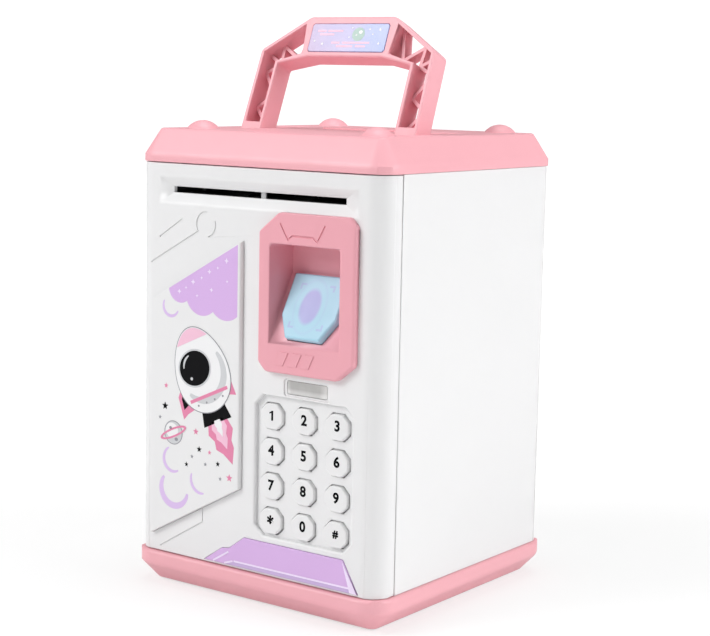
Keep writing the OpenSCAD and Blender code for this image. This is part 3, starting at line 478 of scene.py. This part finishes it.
def rounded(node, name, rules, segments=3, to_local=Matrix.Identity(4), lattice=False):
    """A copy of a CAD node with the edges that the rules pick rounded to real radii.

    Each rule is a radius and a test on an Edge, and the first that holds counts. An Edge has its
    middle in millimetres, its direction, whether it stands out, and the two faces beside it. Both
    are in the space that to_local leads to. The faces of a lattice are kept as triangles, because
    one outline can't go round their many holes.
    """
    source = nodes[node]
    work = bmesh.new()
    work.from_mesh(source.data)
    bmesh.ops.remove_doubles(work, verts=work.verts, dist=2e-6)
    bmesh.ops.dissolve_limit(work, angle_limit=math.radians(0.5), verts=work.verts, edges=work.edges)
    if lattice:
        bmesh.ops.triangulate(work, faces=work.faces)
    weight = work.edges.layers.float.new("bevel_weight_edge")
    largest = max(radius for radius, test in rules)
    scale = Matrix.Scale(1 / MM, 4)
    for edge in work.edges:
        if edge.calc_face_angle(0) < math.radians(12):
            continue
        ends = [scale @ (to_local @ vert.co) for vert in edge.verts]
        middle = (ends[0] + ends[1]) / 2
        seen = Edge(*middle, (ends[1] - ends[0]).normalized(), edge.is_convex,
                    [Wall(face, to_local) for face in edge.link_faces])
        radius = next((radius for radius, test in rules if test(seen)), 0)
        edge[weight] = radius / largest
        edge.smooth = radius > 0
    for face in work.faces:
        face.smooth = True
    mesh = bpy.data.meshes.new(name)
    work.to_mesh(mesh)
    work.free()
    slot = source.data.materials[0].name
    mesh.materials.append(finishes[slot])
    piece = bpy.data.objects.new(name, mesh)
    bpy.context.scene.collection.objects.link(piece)
    bevel = piece.modifiers.new("round", "BEVEL")
    bevel.limit_method = "WEIGHT"
    bevel.width = largest * MM
    bevel.segments = segments
    bevel.use_clamp_overlap = False
    normals = piece.modifiers.new("normals", "WEIGHTED_NORMAL")
    normals.keep_sharp = True
    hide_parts(node)
    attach(piece, source["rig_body"])
    return piece


class Wall:
    """One face beside an edge: its normal and how far it reaches along Y, in millimetres."""

    def __init__(self, face, to_local):
        self.normal = to_local.to_3x3() @ face.normal
        reach = [(to_local @ vert.co).y / MM for vert in face.verts]
        self.low = min(reach)
        self.high = max(reach)


def depth(edge):
    """How far the wall beside a front edge runs along Y, or 0 where neither or both faces do."""
    along = [wall for wall in edge.walls if abs(wall.normal.y) < 0.1]
    return along[0].high - along[0].low if len(along) == 1 else 0


def on_front(edge, y):
    """The edge lies in the plane across Y at y."""
    return near(edge.y, y) and abs(edge.along.y) < 0.1


def level(edge, z, slack=0.15):
    """The edge lies in the level plane at z."""
    return near(edge.z, z, slack) and abs(edge.along.z) < 0.1


def along_depth(edge):
    return abs(edge.along.y) > 0.9


def far_out(edge, inset):
    """The edge is within an inset of the cabinet's sides, front or back."""
    return abs(edge.x) > SIDE - inset or edge.y < FRONT + inset or edge.y > FRONT + BODY_DEPTH - inset


def round_cabinet():
    rounded("base_tray", "base", [
        (1.6, lambda e: level(e, BASE_TOP) and far_out(e, 0)),
        (1.4, lambda e: level(e, BASE_TOP - 6, 0.3) and far_out(e, 0)),
        (0.6, lambda e: level(e, 0.8, 0.2) and e.convex and far_out(e, 9)),
    ], segments=4)
    rounded("body_shell", "cabinet_body", [
        (0.4, lambda e: near(e.y, FRONT + 12.3) and far_out(e, 1)),
        (0.3, lambda e: abs(e.along.z) < 0.1 and e.convex and far_out(e, 0.2)
            and (near(e.z, BASE_TOP + 0.1) or near(e.z, LID_FOOT - 0.1))),
    ])
    rounded("lid", "lid_moulding", [
        (0.4, lambda e: level(e, LID_FOOT) and far_out(e, 0.1)),
        (1.6, lambda e: level(e, LID_FOOT + 3.2) and far_out(e, 0.1)),
        (0.9, lambda e: level(e, LID_TOP) and e.convex),
        (0.5, lambda e: e.z > 200 and e.convex and abs(e.along.x) > 0.9 and abs(e.x) < 49.5),
    ])
    rounded("coin_slot_insert", "coin_slot_rim", [
        (0.5, lambda e: level(e, LID_TOP + 0.8)),
    ])


def round_door():
    well_left, well_right = 1.5, 53.1
    well_foot, well_top = 33, 94.5

    def at_well(e, grow=0.4):
        """The edge is inside the keypad's well, grown by a margin."""
        return (well_left - grow < e.x < well_right + grow
                and well_foot - grow < e.z < well_top + grow)

    def at_slot_funnel(e):
        return 171 < e.z < 185.5 and abs(e.x) < 57

    def at_lamp_window(e):
        return 16 < e.x < 41 and 95.5 < e.z < 103.5

    rounded("door_shell", "door_moulding", [
        (1.0, lambda e: on_front(e, FRONT) and at_slot_funnel(e)),
        (0.4, lambda e: on_front(e, FRONT) and at_well(e) and e.z > well_top - 1),
        (1.1, lambda e: on_front(e, FRONT) and at_well(e)),
        (0.3, lambda e: on_front(e, FRONT + WELL_IN) and at_well(e, -1) and e.convex),
        (0.3, lambda e: on_front(e, FRONT) and at_lamp_window(e)),
        (0.6, lambda e: near(e.y, FRONT + 11.9) and e.x > 67),
        (0.5, lambda e: e.convex and far_out(e, 0.05)
            and (near(e.z, BASE_TOP + 0.4) or near(e.z, LID_FOOT - 0.4))),
        (0.12, lambda e: on_front(e, FRONT) and 0.2 < depth(e) < 0.7),
    ], segments=4)
    rounded("artwork_panel", "artwork_panel_moulding", [
        (1.1, lambda e: on_front(e, FRONT - PANEL_OUT) and near(e.x, -5.75)),
        (0.5, lambda e: on_front(e, FRONT - PANEL_OUT)),
        (0.4, along_depth),
    ])
    rounded("lower_trim", "lower_trim_moulding", [
        (0.3, lambda e: on_front(e, FRONT - TRIM_OUT)),
    ])
    sensor_frame = rounded("sensor_bezel", "sensor_frame", [
        (1.3, lambda e: on_front(e, FRONT - SENSOR_OUT) and near(depth(e), SENSOR_OUT, 0.2)),
        (0.8, lambda e: on_front(e, FRONT - SENSOR_OUT) and depth(e) > 5),
        (1.3, lambda e: along_depth(e) and near(e.y, FRONT - SENSOR_OUT / 2, 0.3)),
        (2.0, lambda e: along_depth(e) and near(e.z, 159.4) and 10 < e.x < 48),
        (0.15, lambda e: e.convex and e.y < FRONT - 2.4 and depth(e) < 0.7),
    ], segments=4)
    # Painted shade: the bezel gets a darker copy of the pink, because its upright face takes less light
    # than the lid's slope.
    sensor_frame.data.materials[0] = moulded("sensor_pink_painted_shade", (0.81, 0.37, 0.43), 0.42)
    rounded("led_window", "lamp_window", [
        (0.2, lambda e: on_front(e, FRONT + 0.6)),
    ])
    rounded("door_back_cover", "door_back", [
        (1.4, lambda e: on_front(e, DOOR_BACK) and e.convex
            and (abs(e.x + 0.5) > 54 or abs(e.z - 103.8) > 79)),
        (0.3, lambda e: e.convex and on_front(e, DOOR_BACK)),
    ])
    rounded("battery_cover", "battery_hatch", [
        (0.3, lambda e: on_front(e, DOOR_BACK)),
    ])


def round_handle():
    """Rounds the handle and its label, and gives the way from its upright frame to its place."""
    pivot = Vector(next(j for j in frame["joints"] if j["name"] == "handle_fold")["pos_m"])
    upright = Matrix.Rotation(HANDLE_LEAN, 4, "X") @ Matrix.Translation(-pivot)
    rounded("handle_grip", "handle_moulding", [
        (1.0, lambda e: near(abs(e.y), HANDLE_FRONT) and depth(e) > 10),
        (0.3, lambda e: near(e.y, -HANDLE_FRONT) and depth(e) > 4),
        (0.15, lambda e: near(e.y, -HANDLE_FRONT)),
        (1.2, lambda e: along_depth(e) and near(e.y, 0)),
    ], to_local=upright, lattice=True)
    label = rounded("handle_label", "label_plate", [
        (0.3, lambda e: on_front(e, -HANDLE_FRONT - 0.2)),
    ], to_local=upright)
    label.data.materials[0] = label_film()
    return upright.inverted()


def round_pad():
    lay_flat = Matrix.Rotation(-(math.pi / 2 - PAD_SLOPE), 4, "X")
    flat = Matrix.Translation((0, -PAD_UP * MM, 0)) @ lay_flat @ Matrix.Translation(-PAD_FOOT * MM)
    rounded("sensor_pad", "sensor_pad_moulding", [
        (0.35, lambda e: e.z > PAD_TOP - 1),
        (0.6, lambda e: abs(e.along.z) > 0.9 and e.z > 0),
    ], to_local=flat)


# Each key's column from the left and row from the foot
keys = {"1": (0, 3), "2": (1, 3), "3": (2, 3), "4": (0, 2), "5": (1, 2), "6": (2, 2), "7": (0, 1),
        "8": (1, 1), "9": (2, 1), "star": (0, 0), "0": (1, 0), "hash": (2, 0)}


def round_keys():
    for key in keys:
        rounded("key_" + key, "key_cap_" + key, [
            (0.7, lambda e: on_front(e, FRONT + KEY_IN)),
            (1.0, lambda e: along_depth(e) and near(e.y, FRONT + WELL_IN + 0.4, 0.6)),
        ], segments=4)


# ---------- prints ----------

# Thickness of one printed layer
PRINT = 0.04


def front_plane(depth):
    """From flat (across, up, out) to the frame, for a face that looks along -Y at a depth."""
    return Matrix(((1, 0, 0, 0), (0, 0, -1, (FRONT + depth) * MM), (0, 1, 0, 0), (0, 0, 0, 1)))


def flat_curve(name, loops):
    """A filled curve in its own plane. Loops after the first are cut out of it."""
    curve = bpy.data.curves.new(name, "CURVE")
    curve.dimensions = "2D"
    curve.fill_mode = "BOTH"
    for loop in loops:
        spline = curve.splines.new("POLY")
        spline.points.add(len(loop) - 1)
        for point, (u, v) in zip(spline.points, loop):
            point.co = (u * MM, v * MM, 0, 1)
        spline.use_cyclic_u = True
    return curve


def printed(name, curve, plane, colour, body, layer=0):
    """Turns a flat curve into a thin solid on a face. A higher layer lies on the ones below it."""
    curve.extrude = PRINT * MM / 2
    drawn = bpy.data.objects.new(name + "_curve", curve)
    bpy.context.scene.collection.objects.link(drawn)
    bpy.context.view_layer.update()
    mesh = bpy.data.meshes.new_from_object(drawn.evaluated_get(bpy.context.evaluated_depsgraph_get()))
    bpy.data.objects.remove(drawn)
    mesh.name = name
    mesh.transform(plane @ Matrix.Translation((0, 0, (layer + 0.5) * PRINT * MM)))
    mesh.materials.clear()
    mesh.materials.append(inks[colour])
    piece = bpy.data.objects.new(name, mesh)
    bpy.context.scene.collection.objects.link(piece)
    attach(piece, body)
    return piece


def printer(prefix, plane, body):
    """A function that prints named loops on one face of a body."""
    def add(name, loops, colour, layer=0):
        printed(prefix + name, flat_curve(name, loops), plane, colour, body, layer)
    return add


def scallop(start, end, sag, steps=16):
    """Points on the arc from start to end that hangs below its chord by sag, without the start."""
    half = math.dist(start, end) / 2
    radius = (half * half + sag * sag) / (2 * sag)
    middle = ((start[0] + end[0]) / 2, (start[1] + end[1]) / 2)
    along = math.atan2(end[1] - start[1], end[0] - start[0])
    rise = radius - sag
    centre = (middle[0] + rise * math.cos(along + math.pi / 2),
              middle[1] + rise * math.sin(along + math.pi / 2))
    swing = math.asin(min(1, half / radius))
    down = along - math.pi / 2
    return [(centre[0] + radius * math.cos(down + swing * (2 * i / steps - 1)),
             centre[1] + radius * math.sin(down + swing * (2 * i / steps - 1)))
            for i in range(1, steps + 1)]


def crescent(centre, radius, width, start, end, steps=28):
    """An open ring that is widest in its middle and thins to round ends."""
    outer = []
    inner = []
    for i in range(steps + 1):
        share = i / steps
        angle = math.radians(start + (end - start) * share)
        half = width / 2 * (0.35 + 0.65 * math.sin(math.pi * share) ** 0.6)
        ray = (math.cos(angle), math.sin(angle))
        outer.append((centre[0] + (radius + half) * ray[0], centre[1] + (radius + half) * ray[1]))
        inner.append((centre[0] + (radius - half) * ray[0], centre[1] + (radius - half) * ray[1]))
    return outer + inner[::-1]


def ellipse(centre, half_w, half_h, steps=48):
    return [(centre[0] + half_w * math.cos(2 * math.pi * i / steps),
             centre[1] + half_h * math.sin(2 * math.pi * i / steps)) for i in range(steps)]


def star(centre, radius, points=5, waist=0.45):
    return [(centre[0] + (radius if i % 2 == 0 else radius * waist) * math.sin(math.pi * i / points),
             centre[1] + (radius if i % 2 == 0 else radius * waist) * math.cos(math.pi * i / points))
            for i in range(2 * points)]


def turned(loop, angle, centre):
    """A loop turned by degrees about its own origin and moved to a centre."""
    c, s = math.cos(math.radians(angle)), math.sin(math.radians(angle))
    return [(centre[0] + c * u - s * v, centre[1] + s * u + c * v) for u, v in loop]


def egg(half_w, half_h, taper=0.16, steps=56):
    """An egg about its own origin, its narrow end up."""
    points = []
    for i in range(steps):
        angle = 2 * math.pi * i / steps
        waist = half_w * (1 - taper * math.cos(angle))
        points.append((waist * math.sin(angle), half_h * math.cos(angle)))
    return points


def stroke(start, end, width):
    """A straight line with square ends, as a loop."""
    along = (end[0] - start[0], end[1] - start[1])
    size = math.hypot(*along)
    side = (-along[1] / size * width / 2, along[0] / size * width / 2)
    return [(start[0] - side[0], start[1] - side[1]), (end[0] - side[0], end[1] - side[1]),
            (end[0] + side[0], end[1] + side[1]), (start[0] + side[0], start[1] + side[1])]


def print_panel():
    """The artwork: a scalloped cloud, four crescents and a toy rocket among stars."""
    add = printer("print_", front_plane(-PANEL_OUT), "door")
    cloud = [(-46.6, 135.5)]
    cloud += scallop((-46.6, 135.5), (-36.0, 130.8), 3.2)
    cloud += scallop((-36.0, 130.8), (-21.1, 127.4), 3.9)
    cloud += scallop((-21.1, 127.4), (-7.4, 126.6), 2.8)
    cloud += [(-7.4, 157.4)]
    add("cloud", [cloud], "lilac")
    dots = [(-40.5, 134.6, 0.9), (-36.6, 136.6, 0.6), (-32.5, 139.4, 1.0), (-27.6, 141.6, 0.6),
            (-23.2, 144.6, 0.9), (-18.5, 146.6, 0.6), (-13.6, 150.0, 1.0), (-30.2, 133.6, 0.6),
            (-22.0, 136.8, 0.8), (-13.2, 141.2, 0.6)]
    add("cloud_stars", [star((u, v), size * 1.3, 4, 0.4) for u, v, size in dots], "pale_lilac", 1)
    crescents = [((-45.3, 127.8), 4.5, 1.4, 150, 335), ((-43.6, 59.4), 5.6, 1.6, 118, 302),
                 ((-27.1, 52.4), 6, 1.5, 158, 284), ((-42.9, 46.2), 7.8, 3.0, 142, 350)]
    for i, (centre, radius, width, start, end) in enumerate(crescents):
        add(f"crescent_{i + 1}", [crescent(centre, radius, width, start, end)], "moon")
    print_rocket(add)
    print_planet(add)


def print_rocket(add):
    """A fat toy rocket that climbs to the upper left, drawn upright and then leaned over."""
    lean = 24
    middle = (-27.6, 101.5)

    def leaned(*loops):
        return [turned(loop, lean, middle) for loop in loops]

    right_fin = [(10, 0), (14.4, -8), (14.8, -16), (12, -15), (8, -14.5)]
    left_fin = [(-10.5, 0), (-17.6, -7.5), (-18.4, -17.5), (-15, -16), (-8.5, -15)]
    fin_core = [(-12.6, -4), (-16.0, -8.8), (-16.4, -13.6), (-12, -12)]
    flame = [(-5.5, -23), (5.5, -23), (7.2, -29), (4.4, -33.5), (4.4, -37), (0.8, -43.5), (-2.4, -38),
             (-5.6, -35), (-5, -31.5), (-7.4, -28)]
    inner_flame = [(0.62 * u, -23 + 0.66 * (v + 23)) for u, v in flame]
    core_flame = [(0.3 * u, -23 + 0.38 * (v + 23)) for u, v in flame]
    nozzle = [(-6.5, -16), (6.5, -16), (8.4, -24.2), (-8.4, -24.2)]
    add("rocket_flame", leaned(flame), "pink")
    add("rocket_flame_middle", leaned(inner_flame), "pale_pink", 1)
    add("rocket_flame_core", leaned(core_flame), "white", 2)
    add("rocket_fins", leaned(right_fin, left_fin), "pink")
    add("rocket_fin_core", leaned(fin_core), "black", 1)
    add("rocket_nozzle", leaned(nozzle), "black", 1)
    add("rocket_outline", leaned(egg(15.6, 19.4)), "grey", 2)
    add("rocket_hull", leaned(egg(15.2, 19.0)), "white", 3)
    add("rocket_shade", leaned(crescent((0, -1), 12.6, 3.6, 215, 385)), "pearl", 4)
    nose = sorted(point for point in egg(14.9, 18.7) if point[1] > 12.6)
    add("rocket_nose", leaned(nose), "pale_pink", 4)
    add("rocket_window_rim", leaned(ellipse((-3.2, 1.6), 9.6, 8.4)), "pearl", 5)
    add("rocket_window", leaned(ellipse((-3.2, 1.6), 8.8, 7.6)), "black", 6)
    glints = [crescent((-3.2, 1.6), 6.2, 1.0, 100, 165), ellipse((-6.6, -2.2), 0.7, 0.7)]
    add("rocket_glint", leaned(*glints), "pearl", 7)
    add("rocket_band", leaned(stroke((-11.4, -11.6), (11.4, -11.6), 1.5)), "pink", 5)
    rivets = [ellipse((u, -14.3), 0.5, 0.5, 16) for u in (-7.5, -2.5, 2.5, 7.5)]
    add("rocket_rivets", leaned(*rivets), "grey", 5)


def print_planet(add):
    """A small ringed planet and loose stars beside the rocket's flame."""
    middle = (-43.6, 71.4)
    add("planet_outline", [ellipse(middle, 5.4, 5.4)], "grey")
    add("planet", [ellipse(middle, 5.0, 5.0)], "pearl", 1)
    add("planet_light", [ellipse((middle[0] - 0.8, middle[1] + 0.9), 3.6, 3.4)], "white", 2)
    ring = [turned(ellipse((0, 0), w, h), 24, middle) for w, h in ((8.2, 2.1), (6.8, 1.2))]
    add("planet_ring", ring, "pink", 3)
    add("planet_spots", [ellipse((middle[0] - 1.6, middle[1] + 2.0), 0.8, 0.7),
                         ellipse((middle[0] + 1.8, middle[1] - 2.8), 1.0, 0.8)], "grey", 3)
    dark_stars = [(-48.6, 82.8, 1.9), (-28.4, 66.0, 1.5), (-35.8, 58.2, 1.2), (-17.6, 61.0, 1.3)]
    add("stars_dark", [star((u, v), size) for u, v, size in dark_stars], "black")
    pink_stars = [(-30.4, 73.6, 1.6), (-48.0, 92.0, 1.3), (-11.0, 55.8, 1.8), (-22.4, 65.4, 1.1)]
    add("stars_pink", [star((u, v), size) for u, v, size in pink_stars], "pink")
    grey_stars = [(-16.2, 54.6, 1.0), (-24.8, 59.8, 1.0), (-32.6, 62.2, 1.0), (-51.6, 77.4, 1.0)]
    add("stars_grey", [star((u, v), size) for u, v, size in grey_stars], "grey")


def print_trim():
    """Pale edging on the lilac trim at the foot of the door, and a painted highlight: a pale triangle at
    its right end, where the trim bevels.
    """
    add = printer("print_", front_plane(-TRIM_OUT), "door")
    add("trim_foot", [[(-14.4, 16.9), (-9.7, 18.7), (55.9, 18.7), (57.0, 16.9)]], "dusk")
    # Painted highlight: the pale triangle stands for light on the bevel at the trim's right end.
    add("trim_end", [[(49.3, 30.0), (57.2, 16.9), (53.6, 16.9)]], "pale_lilac", 1)
    lines = [((-14.6, 17.2), (-9.8, 18.8)), ((-9.2, 18.9), (55.4, 18.9)), ((-21.0, 17.2), (-12.2, 22.6))]
    add("trim_lines", [stroke(start, end, 0.8) for start, end in lines], "pale_lilac", 2)


def print_label(to_handle):
    """Speed lines, stars and a moon on the handle's label."""
    label_out = HANDLE_FRONT + 0.2
    face = Matrix(((1, 0, 0, 0), (0, 0, -1, -label_out * MM), (0, 1, 0, 0), (0, 0, 0, 1)))
    add = printer("label_", to_handle @ face, "handle")
    middle = (5.4, 50.6)
    add("moon", [ellipse(middle, 3.4, 3.2)], "sage")
    add("moon_glint", [ellipse((6.4, 51.6), 1.0, 0.8), ellipse((4.4, 50.2), 0.5, 0.4)], "white", 1)
    dashes = [(-17.5, -12.8, 52.2), (-11.8, -3.4, 52.2), (-16.0, -8.0, 50.5), (-8.5, -4.0, 46.6),
              (-2.6, 12.4, 46.6), (-5.5, 3.5, 44.9), (5.0, 10.5, 44.9)]
    add("dashes", [stroke((start, v), (end, v), 0.9) for start, end, v in dashes], "pale_pink")
    specks = [(11.2, 53.0, 0.8), (13.2, 50.6, 0.7), (1.4, 53.6, 0.6), (0.6, 49.2, 0.6), (16.8, 52.8, 1.0),
              (17.4, 46.2, 0.8), (-13.6, 46.0, 0.9), (-18.2, 47.4, 0.7)]
    add("stars", [star((u, v), size) for u, v, size in specks], "white", 1)


# Thickens the figures' strokes. Some values break a figure's outline, so a new one needs a look at
# every sign.
STROKE_GROWTH = 0.23
# A sign's letter, its size against the others, and how far it is raised, in millimetres
signs = {"star": ("*", 1.3, -1.3), "hash": ("#", 0.72, 0)}
figure_one = [(-1.25, 0.75), (-1.25, 1.35), (-0.35, 1.75), (0.05, 2.15), (0.85, 2.15), (0.85, -2.15),
              (-0.2, -2.15), (-0.2, 1.1)]


def print_keys():
    first = (10.1, 40.2)
    pitch = (17.4, 15.2)
    for key, (across, up) in keys.items():
        letter, scale, rise = signs.get(key, (key, 1, 0))
        if key == "1":
            curve = flat_curve("sign_1", [figure_one])
        else:
            curve = bpy.data.curves.new("sign_" + key, "FONT")
            curve.body = letter
            curve.size = 6.1 * scale * MM
            curve.offset = STROKE_GROWTH * MM
            curve.align_x = "CENTER"
            curve.align_y = "CENTER"
        place = Vector((first[0] + pitch[0] * across, first[1] + pitch[1] * up + rise, 0))
        plane = front_plane(KEY_IN) @ Matrix.Translation(place * MM)
        printed("sign_" + key, curve, plane, "black", "button_" + key)


round_cabinet()
round_door()
to_handle = round_handle()
round_pad()
round_keys()
print_panel()
print_trim()
print_label(to_handle)
print_keys()
for node in nodes.values():
    for slot in node.material_slots:
        slot.material = finishes[slot.material.name]

add_camera()
add_studio()
